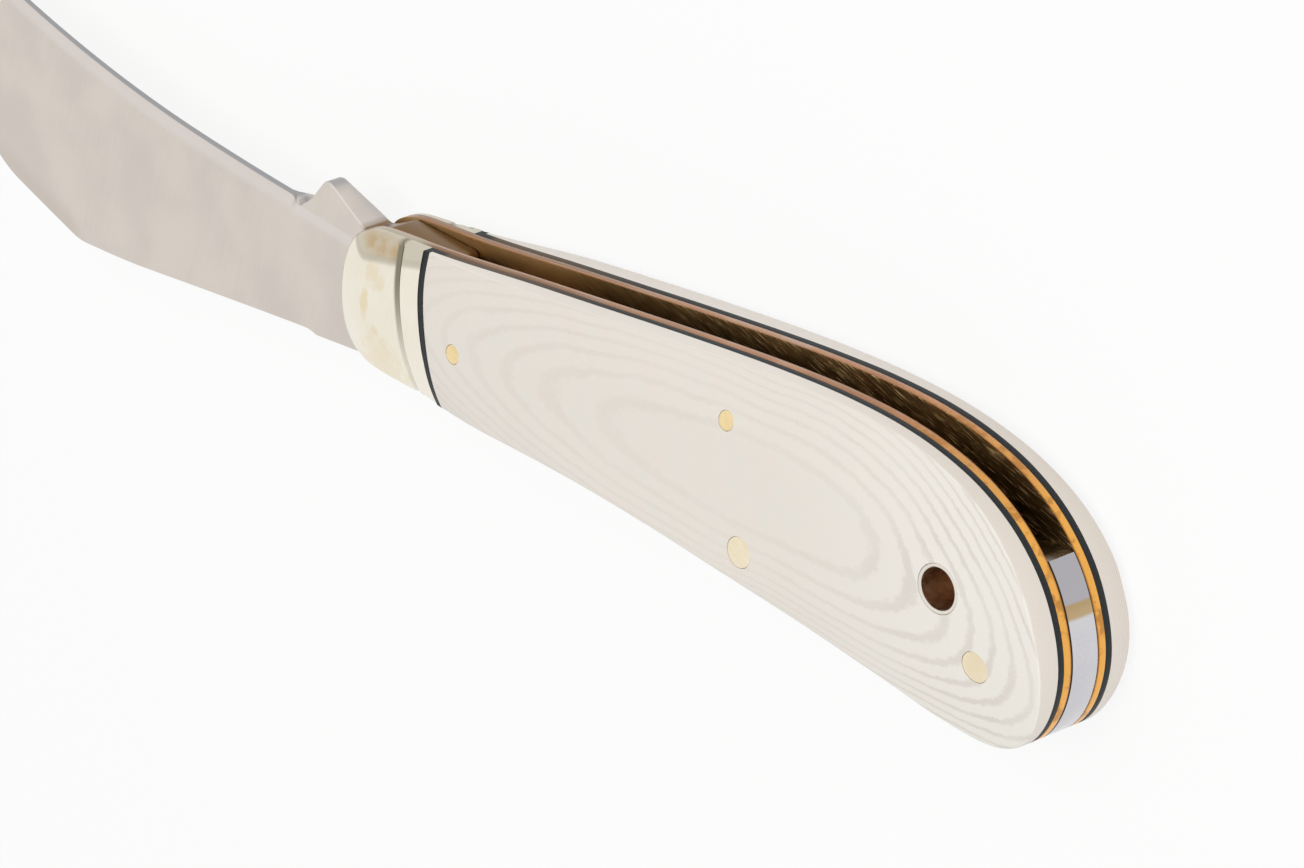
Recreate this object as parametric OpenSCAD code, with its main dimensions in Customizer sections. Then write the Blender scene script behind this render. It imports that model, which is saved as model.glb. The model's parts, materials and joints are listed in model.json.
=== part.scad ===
// Hawkbill pocket knife: a pruning blade that folds into a slotted handle against a backspring.
// The knife lies open on its far scale. +X runs to the butt, +Y to the slot side, +Z to the near scale.
// Every module is laid out from the pivot axis at mid thickness. seat() then moves it into the frame.

/* [Handle outline] */
// Length of the handle, front of the bolsters to the butt
handle_len = 101.9; // [94:0.1:110]
// Front of the bolsters to the pivot axis
pivot_inset = 9.3; // [8.8:0.1:10.2]
// Slot edge above the pivot axis, at the palm swell
palm_rise = 10.9; // [10:0.1:12]
// Back edge below the pivot axis, at the butt
butt_drop = 17.6; // [16.6:0.1:19]

/* [Handle layers] */
// Width of the blade slot, which is also the thickness of the backspring
slot_w = 3.6; // [3:0.1:4.2]
// Thickness of each brass liner
liner_t = 1.0; // [0.6:0.1:1.6]
// Thickness of the black spacer sheet under each scale
spacer_t = 0.8; // [0.4:0.1:1.2]
// Thickness of each scale at its crest, before the flat land is ground
scale_t = 4.0; // [3.8:0.05:4.4]
// Depth of the flat land ground off the crest of each scale
land_cut = 0.6; // [0.45:0.05:0.8]
// Radius of the scale's crown along the handle
crown_long_r = 660; // [560:10:900]
// Radius of the scale's crown across the handle
crown_cross_r = 45; // [40:1:60]
// Crest of the crown behind the pivot axis
crest_x = 49.5; // [46:0.5:54]
// Crest of the crown below the pivot axis
crest_drop = 3.5; // [2.5:0.5:5]

/* [Bolster] */
// Joint between bolster and scale behind the pivot axis, measured on the pivot's level
joint_x = 4.45; // [4:0.05:5.5]
// Lean of that joint in the plan
joint_lean = 12.5; // [8:0.5:16]
// Thickness of the upright black spacer in the joint
end_spacer_t = 0.9; // [0.5:0.1:1.2]
// Radius of the roll across the bolsters, towards slot and back
roll_r = 18.4; // [15:0.2:24]
// Crest of that roll below the pivot axis
roll_drop = 2.2; // [1:0.1:3]
// Height of that roll above mid thickness, at the joint
roll_z = 6.06; // [5.6:0.02:6.2]
// Rise of the roll from the bolster's front to the joint
roll_rise = 4.6; // [3:0.2:6]
// Rise of the roll behind the joint, where it runs out into the scale
roll_out_rise = 10.5; // [9:0.5:16]
// Front wall of the groove ahead of the joint
groove_ahead = 3.85; // [3.4:0.05:4.6]
// Width of the groove
groove_w = 0.85; // [0.5:0.05:1.2]
// Depth of the groove
groove_d = 0.4; // [0.2:0.05:0.6]
// Least metal left under the groove
groove_floor = 0.2; // [0.1:0.05:0.3]
// Place, ahead of the joint, where the bolsters begin to roll down to their front
front_run = 8.9; // [6:0.1:11]
// Radius of that roll
front_roll_r = 16; // [12:0.5:24]

/* [Pins] */
// Diameter of the pivot pin
pivot_d = 3.2; // [2.6:0.1:4]
// Running clearance between the pivot pin and the blade, on the radius
pivot_run = 0.04; // [0.02:0.01:0.08]
// Clearance of every fixed pin in its holes, on the radius
pin_fit = 0.02; // [0.01:0.01:0.05]
// Diameter of the two pins that hold the backspring
spring_pin_d = 3.2; // [2.8:0.1:3.6]
// Middle spring pin behind the pivot axis
mid_pin_x = 52.8; // [50:0.2:56]
// Middle spring pin below the pivot axis
mid_pin_drop = 8.3; // [8:0.1:8.6]
// End spring pin ahead of the butt
end_pin_inset = 8.2; // [7.4:0.1:9]
// End spring pin below the pivot axis
end_pin_drop = 8.85; // [8.2:0.1:9.6]
// Bore of the lanyard tube
tube_bore = 4.3; // [3.6:0.1:4.6]
// Wall of the lanyard tube
tube_wall = 0.4; // [0.3:0.05:0.6]
// Lanyard tube ahead of the butt
tube_inset = 13.0; // [12.6:0.1:13.6]
// Lanyard tube below the pivot axis
tube_drop = 2.3; // [2:0.1:2.8]
// Diameter of the small pins that hold each scale
scale_pin_d = 2.0; // [1.6:0.1:2.4]
// Front scale pin behind the pivot axis
front_scale_pin_x = 10.35; // [9.8:0.1:14]
// Front scale pin below the pivot axis
front_scale_pin_drop = 2.2; // [1:0.1:4]
// Rear scale pin behind the pivot axis
rear_scale_pin_x = 50.3; // [46:0.1:54]
// Rear scale pin above the pivot axis
rear_scale_pin_rise = 4.75; // [3.5:0.1:6]
// Diameter of the hidden rivets that hold each bolster
rivet_d = 1.6; // [1.2:0.1:2]
// Both rivets ahead of the pivot axis
rivet_x = 4.6; // [4:0.1:5]
// Lower rivet below the pivot axis
rivet_drop = 5; // [4.4:0.1:5.4]
// Upper rivet above the pivot axis
rivet_rise = 2.0; // [1.6:0.1:2.4]

/* [Backspring] */
// Distance of the tang's flats from the pivot axis, where the spring bears on them
tang_flat = 5.2; // [4.6:0.1:5.5]
// Front end of the spring ahead of the pivot axis
spring_front = 5.6; // [5.2:0.1:6]
// Rounding of the spring's front end, where it sits in the tang's notch
spring_end_r = 0.6; // [0.5:0.05:0.9]
// Spring between the mid pin and the blade well
spring_over_pin = 0.95; // [0.7:0.05:1.2]
// Rounding of the spring's inner face over the mid pin
over_pin_r = 30; // [20:1:45]
// Spring's inner face below the pivot axis, where the kick lands
landing_drop = 5.65; // [5.3:0.05:5.9]
// Landing of the kick behind the pivot axis
landing_x = 15.7; // [15:0.1:16.4]
// Lowest point of the blade well, ahead of the closed blade's point
well_ahead = 3.3; // [2.6:0.1:4]
// Fall of the well's floor to that lowest point
well_fall = 0.6; // [0.4:0.05:0.9]
// Rounding of the well's lowest point
well_r = 2.5; // [2:0.1:3.5]
// End of the well's floor behind the closed blade's point
well_behind = 1.65; // [1.4:0.05:2]
// Rounding at the end of the floor
well_end_r = 1.2; // [0.8:0.1:1.6]
// Wall of the spring's foot around the lanyard tube
foot_wall = 1.0; // [0.8:0.1:1.2]
// Top of the spring's foot above the pivot axis
foot_rise = 2.35; // [2:0.05:2.6]
// Knee of the foot below the lanyard tube's middle
knee_drop = 1.0; // [0.6:0.1:1.4]
// Rounding of the knee
knee_r = 1.5; // [1:0.1:2]
// Lean of the foot's front face above the knee
foot_lean = 2.5; // [2:0.1:3]
// Rounding at the top of the foot
foot_r = 2; // [1.4:0.1:2.6]

/* [Blade] */
// Angle the blade turns from open to closed
fold_angle = 176; // [174:1:178]
// Side clearance between the blade's tang and each liner
blade_gap = 0.08; // [0.04:0.01:0.12]
// Blade's point ahead of the pivot axis falls short of the butt behind it by this much
tip_inset = 14.6; // [14.2:0.1:16]
// Height of the blade's point above the pivot axis when open
tip_rise = 15.95; // [15.2:0.05:16.4]
// Clearance around the closed blade's point in the backspring
tip_clear = 1.1; // [0.8:0.1:1.4]
// Start of the cutting edge ahead of the pivot axis
edge_start = 19.6; // [19:0.1:20.4]
// Start of the cutting edge above the pivot axis
edge_rise = 3.3; // [3:0.1:3.6]
// Heading of the edge where it starts
edge_heading = 5; // [4:0.5:6]
// Edge radius of the straight half
edge_heel_r = 400; // [320:10:600]
// Length of the straight half of the edge
edge_heel_len = 16.5; // [12:0.5:20]
// Blade's back below the pivot axis, at the end of the tang
spine_drop = 10.15; // [9.8:0.05:10.4]
// End of the blade's back ahead of the pivot axis, where the tang begins
shoulder_x = 17.4; // [16:0.2:19]
// Step from the blade's back down to the tang
shoulder_step = 0.3; // [0.2:0.05:0.4]
// Length of that step
shoulder_run = 1.5; // [1:0.1:2]
// Rounding at the foot of that step
shoulder_r = 1; // [0.6:0.1:1.4]
// Back of the tang above the blade's back, where it meets the spring
tang_back_rise = 0.4; // [0.2:0.05:0.6]
// Rounding inside the notch that takes the spring's end
notch_r = 0.4; // [0.2:0.05:0.5]
// Rounding of the tang's rear corners
tang_corner_r = 0.8; // [0.5:0.1:1.2]
// Top of the tang above the pivot axis
tang_top = 5.05; // [4.5:0.05:5.2]
// Front corner of the tang's top ahead of the pivot axis
tang_lip_x = 4.2; // [3.6:0.1:4.8]
// Front corner of the tang's top above the pivot axis
tang_lip_rise = 5.48; // [5.2:0.02:5.6]
// Rounding of that corner
tang_lip_r = 1; // [0.6:0.1:1.4]
// Hollow between tang and kick ahead of the pivot axis
hollow_x = 8; // [7.4:0.1:8.6]
// Hollow between tang and kick above the pivot axis
hollow_rise = 3.75; // [3.5:0.05:4]
// Rounding of the hollow
hollow_r = 1.5; // [1:0.1:2]
// Fall of the blade's back towards its corner
spine_fall = 4.6; // [3.5:0.1:5.5]
// Corner of the blade's back ahead of the pivot axis
corner_x = 55.4; // [53:0.2:57]
// Rounding of that corner
corner_r = 6; // [2:0.5:9]
// Slope of the nose behind the corner
nose_slope = 19.8; // [17:0.2:22]
// Turn of the nose behind the blade's point
nose_back = 8.5; // [8:0.1:10]
// Rounding of that turn
nose_r = 9; // [6:0.5:11]
// Thickness of the blade at its back, at the corner
spine_t = 3.2; // [2.6:0.1:3.3]
// Slope of each ground face, from the back to the edge
grind_tilt = 2.57; // [2:0.05:2.8]
// Slope of each ground face, from the tang to the point
distal_taper = 0.385; // [0.2:0.05:0.5]
// Slope where each ground face runs out into the tang
runout_slope = 7.2; // [5:0.2:10]
// End of that run-out ahead of the pivot axis
runout_x = 9.2; // [9:0.1:10]
// Half angle of the sharpened edge
edge_angle = 28; // [20:1:32]
// Width of the sharpened edge, on each side
edge_w = 0.4; // [0.2:0.05:0.6]
// Slope of the softer band behind it, on each side
band_angle = 17; // [12:0.5:20]
// Thickness left along the back of the nose by the strip ground there
swedge_t = 1.6; // [1:0.1:2.2]
// Slope of that strip, on each side
swedge_tilt = 12; // [8:1:18]
// Front of the kick ahead of its top
kick_front = 2.2; // [1.8:0.1:2.6]
// Kick's corner above its landing, before the corner is rounded
kick_over = 0.35; // [0.2:0.05:0.5]
// Rounding of the kick's top
kick_r = 1.3; // [0.8:0.1:1.6]
// Foot of the kick's front above the start of the edge
kick_foot_rise = 0.9; // [0.6:0.1:1.2]
// Rounding at the foot of the kick
kick_foot_r = 0.6; // [0.4:0.1:0.9]
// Small notch behind the start of the edge, in depth and length
choil = 0.5; // [0.3:0.05:0.7]
// Rounding inside that notch
choil_r = 0.4; // [0.2:0.05:0.5]

/* [Hidden] */
$fn = 48;
// Spans of the outline are drawn in this many short chords
chords = 4;
// Extra reach of a cutting shape past the surface it cuts
over = 1;
// Extra turn of the edge's cutter past the blade's point, in degrees
past_tip = 2;
// Flats round the crown, and bands along it
crown_flats = 256;
crown_bands = 26;

// Slot edge from the front of the bolster to the butt: shares of the handle's length and the palm's rise
slot_edge = [
    [0.003, 0.110], [0.014, 0.358], [0.039, 0.487], [0.077, 0.528], [0.121, 0.551], [0.180, 0.597],
    [0.268, 0.685], [0.366, 0.772], [0.464, 0.859], [0.563, 0.937], [0.641, 0.983], [0.710, 1.000],
    [0.778, 0.974], [0.837, 0.887], [0.891, 0.722], [0.937, 0.460], [0.973, 0.092]
];
// Back edge from the butt to the front of the bolster: shares of the handle's length and the butt's drop
back_edge = [
    [0.994, 0.211], [1.000, 0.474], [0.989, 0.731], [0.964, 0.914], [0.922, 1.000], [0.862, 0.960],
    [0.791, 0.858], [0.690, 0.739], [0.582, 0.648], [0.474, 0.574], [0.366, 0.528], [0.249, 0.523],
    [0.141, 0.540], [0.062, 0.547], [0.027, 0.505], [0.006, 0.377], [0.000, 0.149]
];
butt_x = handle_len - pivot_inset;
outline_stations = concat(
    [for (s = slot_edge) [s[0] * handle_len - pivot_inset, s[1] * palm_rise]],
    [for (s = back_edge) [s[0] * handle_len - pivot_inset, -s[1] * butt_drop]]
);
outline = smooth_loop(outline_stations, chords);

// Heights of the layers above mid thickness
slot_z = slot_w / 2;
liner_z = slot_z + liner_t;
spacer_z = liner_z + spacer_t;
crest_z = spacer_z + scale_t;
land_z = crest_z - land_cut;

mid_pin = [mid_pin_x, -mid_pin_drop];
end_pin_at = [butt_x - end_pin_inset, -end_pin_drop];
tube_at = [butt_x - tube_inset, -tube_drop];
tube_r = tube_bore / 2 + tube_wall;
scale_pin_places = [[front_scale_pin_x, -front_scale_pin_drop], [rear_scale_pin_x, rear_scale_pin_rise]];
rivet_places = [[-rivet_x, -rivet_drop], [-rivet_x, rivet_rise]];

// The blade's outline follows the place that the closed blade has in the handle
tip = [-(butt_x - tip_inset), tip_rise];
heel = [-edge_start, edge_rise];
// The kick's top is the landing on the spring, turned back to the open blade
kick_top = turned([landing_x, -landing_drop], fold_angle);
heel_heading = 180 - edge_heading;
heel_sweep = edge_heel_len / edge_heel_r * 180 / PI;
heel_centre = heel + edge_heel_r * [cos(heel_heading - 90), sin(heel_heading - 90)];
belly_start = heel_centre + turned(heel - heel_centre, -heel_sweep);
belly_heading = heel_heading - heel_sweep;
belly_normal = [cos(belly_heading - 90), sin(belly_heading - 90)];
// One circle leaves the straight half smoothly and ends at the point
belly_chord = tip - belly_start;
belly_r = (belly_chord * belly_chord) / (2 * belly_chord * belly_normal);
belly_centre = belly_start + belly_r * belly_normal;
belly_sweep = 2 * asin(norm(belly_chord) / (2 * belly_r));
blade_z = slot_z - blade_gap;
shoulder = [-shoulder_x, -spine_drop];
corner = [-corner_x, -spine_drop - (corner_x + shoulder[0]) * tan(spine_fall)];
nose_x = tip[0] + nose_back;
nose = [nose_x, corner[1] - (nose_x + corner_x) * tan(nose_slope)];
closed_tip = turned(tip, -fold_angle);

x_low = tip[0];
x_high = max([for (p = outline) p[0]]);
y_low = min([for (p = outline) p[1]]);
y_high = tip[1];

// A point turned about the origin
function turned(p, a) = [p[0] * cos(a) - p[1] * sin(a), p[0] * sin(a) + p[1] * cos(a)];

// A closed smooth curve through the points, with n chords to each span
function smooth_loop(p, n) = let (c = len(p)) [
    for (i = [0 : c - 1], k = [0 : n - 1])
        spline(p[(i + c - 1) % c], p[i], p[(i + 1) % c], p[(i + 2) % c], k / n)
];
function spline(a, b, c, d, u) =
    (2 * b + (c - a) * u + (2 * a - 5 * b + 4 * c - d) * u * u + (3 * b - a - 3 * c + d) * u * u * u) / 2;

// A corner b between the points a and c, rounded with radius r in n chords
function rounded(a, b, c, r, n) = let (
    u = (a - b) / norm(a - b),
    v = (c - b) / norm(c - b),
    half = acos(u * v) / 2,
    centre = b + (u + v) / norm(u + v) * r / sin(half),
    from = b + u * r / tan(half) - centre,
    side = (u[0] * v[1] - u[1] * v[0]) > 0 ? -1 : 1
) [for (k = [0 : n]) centre + turned(from, side * k / n * (180 - 2 * half))];

// The points of a closed path of [x, y, radius], with each corner rounded
function rounded_path(p) = let (c = len(p)) [
    for (i = [0 : c - 1])
        let (a = p[(i + c - 1) % c], b = p[i], d = p[(i + 1) % c])
            each b[2] > 0
                ? rounded([a[0], a[1]], [b[0], b[1]], [d[0], d[1]], b[2], 5)
                : [[b[0], b[1]]]
];

// Moves a piece from the pivot's axes to the middle of the knife's underside
module seat() {
    translate([-(x_low + x_high) / 2, -(y_low + y_high) / 2, land_z]) children();
}

module far_side() {
    mirror([0, 0, 1]) children();
}

module handle_2d() {
    polygon(outline);
}

// Everything behind the bolster joint, from a given distance behind it
module behind_joint_2d(gap = 0) {
    translate([joint_x, 0]) rotate(joint_lean) translate([gap, -handle_len])
        square([2 * handle_len, 2 * handle_len]);
}

// Fall of the crown's crest line at a distance behind the pivot axis
function crown_fall(x) = crown_long_r - sqrt(crown_long_r ^ 2 - (x - crest_x) ^ 2);

// Space under the crowned face of the near side, lowered by a given depth: a barrel along the handle
module under_crown(sink = 0) {
    front = -pivot_inset - over;
    back = butt_x + over;
    stations = [for (k = [0 : crown_bands]) front + (back - front) * k / crown_bands];
    translate([0, -crest_drop, crest_z - sink - crown_cross_r]) rotate([0, 90, 0])
        rotate_extrude($fn = crown_flats) polygon(concat(
            [[0, front]],
            [for (x = stations) [crown_cross_r - crown_fall(x), x]],
            [[0, back]]
        ));
}

// The near face's envelope: crown and flat land
module near_envelope(sink = 0) {
    intersection() {
        under_crown(sink);
        translate([-handle_len, -butt_drop * 2, -land_z - over])
            cube([3 * handle_len, butt_drop * 4, 2 * land_z + over - sink]);
    }
}

// Space between both crowned faces
module envelope() {
    intersection() {
        near_envelope();
        far_side() near_envelope();
    }
}

module hole(at, r) {
    translate([at[0], at[1], -land_z - over]) cylinder(r = r, h = 2 * (land_z + over));
}

// Holes for the pins that go right through the handle
module through_holes() {
    hole(mid_pin, spring_pin_d / 2 + pin_fit);
    hole(end_pin_at, spring_pin_d / 2 + pin_fit);
    hole(tube_at, tube_r + pin_fit);
}

module scale_pin_holes() {
    for (p = scale_pin_places) hole(p, scale_pin_d / 2 + pin_fit);
}

module rivet_holes() {
    for (p = rivet_places) hole(p, rivet_d / 2 + pin_fit);
}

module liner() {
    difference() {
        translate([0, 0, slot_z]) linear_extrude(liner_t) handle_2d();
        hole([0, 0], pivot_d / 2 + pin_fit);
        through_holes();
        scale_pin_holes();
        rivet_holes();
    }
}

module spacer() {
    difference() {
        translate([0, 0, liner_z]) linear_extrude(spacer_t) intersection() {
            handle_2d();
            behind_joint_2d(end_spacer_t);
        }
        through_holes();
        scale_pin_holes();
    }
}

module end_spacer() {
    intersection() {
        translate([0, 0, liner_z]) linear_extrude(crest_z - liner_z) intersection() {
            handle_2d();
            difference() {
                behind_joint_2d();
                behind_joint_2d(end_spacer_t);
            }
        }
        near_envelope();
        under_roll(roll_out_rise);
    }
}

module scale_slab() {
    difference() {
        intersection() {
            translate([0, 0, spacer_z]) linear_extrude(scale_t) intersection() {
                handle_2d();
                behind_joint_2d(end_spacer_t);
            }
            near_envelope();
            under_roll(roll_out_rise);
        }
        through_holes();
        scale_pin_holes();
    }
}

// Space under the roll that meets the joint at its given height and rises towards the butt
module under_roll(rise, sink = 0) {
    translate([joint_x, -roll_drop, roll_z - sink]) rotate([0, -rise, 0])
        translate([-handle_len, 0, -roll_r]) rotate([0, 90, 0])
            cylinder(r = roll_r, h = 3 * handle_len, $fn = 180);
}

// Space under the roll down to the bolster's front, which leaves the metal behind it alone
module under_front_roll(sink = 0) {
    translate([joint_x, 0, roll_z - sink]) rotate([0, -roll_rise, 0])
        translate([-front_run, 0, -front_roll_r]) {
            rotate([90, 0, 0]) cylinder(r = front_roll_r, h = 4 * butt_drop, center = true, $fn = 180);
            translate([0, -2 * butt_drop, -front_roll_r])
                cube([handle_len, 4 * butt_drop, 2 * front_roll_r]);
        }
}

// Space under the bolster's own face, lowered by a given depth
module bolster_envelope(sink = 0) {
    intersection() {
        near_envelope(sink);
        under_roll(roll_rise, sink);
        under_front_roll(sink);
    }
}

// Groove across the bolster's face
module bolster_groove() {
    difference() {
        translate([joint_x, 0, 0]) rotate(joint_lean)
            translate([-groove_ahead, -butt_drop, liner_z + groove_floor])
                cube([groove_w, 2 * butt_drop, scale_t + over]);
        bolster_envelope(groove_d);
    }
}

module bolster() {
    difference() {
        intersection() {
            translate([0, 0, liner_z]) linear_extrude(scale_t + over) difference() {
                handle_2d();
                behind_joint_2d();
            }
            bolster_envelope();
        }
        bolster_groove();
        hole([0, 0], pivot_d / 2 + pin_fit);
        rivet_holes();
    }
}

// A pin flush with both crowned faces
module through_pin(at, d) {
    intersection() {
        translate([at[0], at[1], -land_z]) cylinder(d = d, h = 2 * land_z);
        envelope();
    }
}

// A pin from the liner's inner face to the near face
module short_pin(at, d) {
    intersection() {
        translate([at[0], at[1], slot_z]) cylinder(d = d, h = land_z);
        near_envelope();
    }
}

// Backspring: its outer edge follows the handle, its inner edge clears the folded blade
module spring_2d() {
    pin_top = -mid_pin_drop + spring_pin_d / 2 + spring_over_pin;
    foot_left = tube_at[0] - tube_r - foot_wall;
    well_floor = closed_tip[1] - tip_clear;
    low = -butt_drop - over;
    intersection() {
        handle_2d();
        polygon(rounded_path([
            [-spring_front, low, 0],
            [-spring_front, -tang_flat, spring_end_r],
            [tang_flat + over, -tang_flat, 0],
            [landing_x, -landing_drop, 0],
            [mid_pin_x + spring_pin_d, pin_top, over_pin_r],
            [closed_tip[0] - well_ahead, well_floor - well_fall, well_r],
            [closed_tip[0] + well_behind, well_floor, well_end_r],
            [foot_left, tube_at[1] - knee_drop, knee_r],
            [foot_left + foot_lean, foot_rise, foot_r],
            [butt_x + over, foot_rise, 0],
            [butt_x + over, low, 0]
        ]));
    }
}

// The cutting edge as a run of points from heel to point, pushed out of the blade by a margin
function edge_points(margin) = let (
    from_heel = (heel - heel_centre) * (1 - margin / edge_heel_r),
    from_belly = (belly_start - belly_centre) * (1 - margin / belly_r)
) concat(
    [heel],
    [for (k = [1 : 3]) heel_centre + turned(from_heel, -heel_sweep * k / 4)],
    [for (k = [0 : 8]) belly_centre + turned(from_belly, -belly_sweep * k / 8)]
);

module blade_2d() {
    tang_end = -spring_front - blade_gap;
    polygon(concat(
        rounded_path([
            [tip[0], tip[1], 0],
            [nose[0], nose[1], nose_r],
            [corner[0], corner[1], corner_r],
            [shoulder[0], shoulder[1], 0],
            [shoulder[0] + shoulder_run, shoulder[1] - shoulder_step, shoulder_r],
            [tang_end, -spine_drop + tang_back_rise, 0],
            [tang_end, -tang_flat, notch_r],
            [tang_flat, -tang_flat, tang_corner_r],
            [tang_flat, tang_top, tang_corner_r],
            [-tang_lip_x, tang_lip_rise, tang_lip_r],
            [-hollow_x, hollow_rise, hollow_r],
            [kick_top[0], kick_top[1] + kick_over, kick_r],
            [kick_top[0] - kick_front, heel[1] + kick_foot_rise, kick_foot_r],
            [heel[0] + choil, heel[1] - choil, choil_r]
        ]),
        edge_points(over)
    ));
}

// Section of the space outside the sharpened edge, at radius r from the edge's centre
module edge_section(r) {
    half = 2 * blade_z;
    rise = edge_w * tan(edge_angle);
    reach = edge_w + (half - rise) / tan(band_angle);
    polygon([
        [r - 3 * over, -half], [r + reach, -half], [r + edge_w, -rise], [r, 0],
        [r + edge_w, rise], [r + reach, half], [r - 3 * over, half]
    ]);
}

// Everything outside the sharpened edge, round one of the edge's two centres
module edge_cutter(centre, from, r, sweep) {
    start = atan2(from[1] - centre[1], from[0] - centre[0]);
    translate([centre[0], centre[1], 0]) rotate(start - sweep)
        rotate_extrude(angle = sweep, $fn = crown_flats) edge_section(r);
}

// Everything above the near ground face, with its run-out into the tang
module ground_off() {
    reach = handle_len;
    intersection() {
        translate([corner[0], corner[1], spine_t / 2]) rotate([-grind_tilt, -distal_taper, 0])
            translate([-reach, -reach, 0]) cube([2 * reach, 2 * reach, slot_w]);
        translate([-runout_x, 0, blade_z]) rotate([0, -runout_slope, 0])
            translate([-reach, -reach, 0]) cube([2 * reach, 2 * reach, 4 * slot_w]);
    }
}

// Strip ground along the back of the nose, near side
module swedge_off() {
    translate([nose[0], nose[1], swedge_t / 2]) rotate(-nose_slope) rotate([swedge_tilt, 0, 0])
        translate([-nose_back, -nose_r, 0]) cube([corner_x, 3 * nose_r, slot_w]);
}

module blade() color([0.80, 0.77, 0.75]) seat() {
    difference() {
        difference() {
            linear_extrude(2 * blade_z, center = true) blade_2d();
            ground_off();
            far_side() ground_off();
            swedge_off();
            far_side() swedge_off();
            hole([0, 0], pivot_d / 2 + pivot_run);
            edge_cutter(heel_centre, heel, edge_heel_r, heel_sweep);
        }
        edge_cutter(belly_centre, belly_start, belly_r, belly_sweep + past_tip);
    }
}

module backspring() color([0.72, 0.71, 0.70]) seat() {
    difference() {
        linear_extrude(slot_w, center = true) spring_2d();
        through_holes();
    }
}

module liner_near() color([0.78, 0.60, 0.38]) seat() liner();
module liner_far() color([0.78, 0.60, 0.38]) seat() far_side() liner();
module spacer_near() color([0.16, 0.16, 0.17]) seat() spacer();
module spacer_far() color([0.16, 0.16, 0.17]) seat() far_side() spacer();
module end_spacer_near() color([0.16, 0.16, 0.17]) seat() end_spacer();
module end_spacer_far() color([0.16, 0.16, 0.17]) seat() far_side() end_spacer();
module scale_near() color([0.90, 0.87, 0.83]) seat() scale_slab();
module scale_far() color([0.90, 0.87, 0.83]) seat() far_side() scale_slab();
module bolster_near() color([0.84, 0.80, 0.72]) seat() bolster();
module bolster_far() color([0.84, 0.80, 0.72]) seat() far_side() bolster();

// The pivot's ends are dressed flush with the bolsters, grooves included
module pivot_pin() color([0.84, 0.80, 0.72]) seat() difference() {
    intersection() {
        translate([0, 0, -land_z]) cylinder(d = pivot_d, h = 2 * land_z);
        bolster_envelope();
        far_side() bolster_envelope();
    }
    bolster_groove();
    far_side() bolster_groove();
}

module spring_pin() color([0.88, 0.82, 0.66]) seat() through_pin(mid_pin, spring_pin_d);
module end_pin() color([0.88, 0.82, 0.66]) seat() through_pin(end_pin_at, spring_pin_d);

module lanyard_tube() color([0.80, 0.77, 0.70]) seat() difference() {
    through_pin(tube_at, 2 * tube_r);
    hole(tube_at, tube_bore / 2);
}

module scale_pins() {
    intersection() {
        for (p = scale_pin_places) short_pin(p, scale_pin_d);
        under_roll(roll_out_rise);
    }
}

module bolster_rivets() {
    intersection() {
        for (p = rivet_places) short_pin(p, rivet_d);
        bolster_envelope();
    }
}

module scale_pins_near() color([0.86, 0.72, 0.45]) seat() scale_pins();
module scale_pins_far() color([0.86, 0.72, 0.45]) seat() far_side() scale_pins();
module bolster_rivets_near() color([0.84, 0.80, 0.72]) seat() bolster_rivets();
module bolster_rivets_far() color([0.84, 0.80, 0.72]) seat() far_side() bolster_rivets();

blade();
backspring();
liner_near();
liner_far();
spacer_near();
spacer_far();
end_spacer_near();
end_spacer_far();
scale_near();
scale_far();
bolster_near();
bolster_far();
pivot_pin();
spring_pin();
end_pin();
lanyard_tube();
scale_pins_near();
scale_pins_far();
bolster_rivets_near();
bolster_rivets_far();
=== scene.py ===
import json
import math

import bmesh
import bpy
from mathutils import Euler, Matrix, Vector


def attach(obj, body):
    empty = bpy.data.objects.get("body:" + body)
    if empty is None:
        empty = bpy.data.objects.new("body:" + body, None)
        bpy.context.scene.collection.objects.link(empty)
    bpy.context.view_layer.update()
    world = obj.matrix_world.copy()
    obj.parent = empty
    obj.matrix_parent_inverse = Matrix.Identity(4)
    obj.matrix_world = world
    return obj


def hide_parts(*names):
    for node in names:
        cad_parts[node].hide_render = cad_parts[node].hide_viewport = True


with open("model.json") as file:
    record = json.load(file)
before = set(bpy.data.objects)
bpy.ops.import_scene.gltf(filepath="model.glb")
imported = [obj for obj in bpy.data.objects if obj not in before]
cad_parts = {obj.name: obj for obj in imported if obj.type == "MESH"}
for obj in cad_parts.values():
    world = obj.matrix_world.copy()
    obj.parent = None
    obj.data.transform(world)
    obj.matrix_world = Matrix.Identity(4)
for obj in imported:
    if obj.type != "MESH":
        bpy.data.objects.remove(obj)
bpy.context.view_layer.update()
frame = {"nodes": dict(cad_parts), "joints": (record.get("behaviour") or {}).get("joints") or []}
print("frame loaded:", len(frame["nodes"]), "nodes")

# Pieces are shaped in millimetres round the pivot axis at mid thickness, then set into the frame.
pivot = Vector(frame["joints"][0]["pos_m"])
toFrame = Matrix.Translation(pivot) @ Matrix.Scale(0.001, 4)
toShape = toFrame.inverted()

layers = {"slot": 1.8, "liner": 2.8, "spacer": 3.6, "land": 7.0}  # heights above mid thickness
crown = {"crest": 7.6, "longRadius": 660, "crossRadius": 45, "crestX": 49.5, "crestY": -3.5, "blend": 0.12}
roll = {"radius": 18.4, "crestY": -2.2, "jointX": 4.45, "jointLean": 12.5, "height": 6.06,
        "bolsterRise": 4.6, "scaleRise": 10.5, "frontRun": 8.9, "frontRadius": 16, "blend": 0.5}


def smoothMin(a, b, width):
    near = max(width - abs(a - b), 0) / width
    return min(a, b) - near * near * width / 4


def smoothMax(a, b, width):
    return -smoothMin(-a, -b, width)


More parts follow.
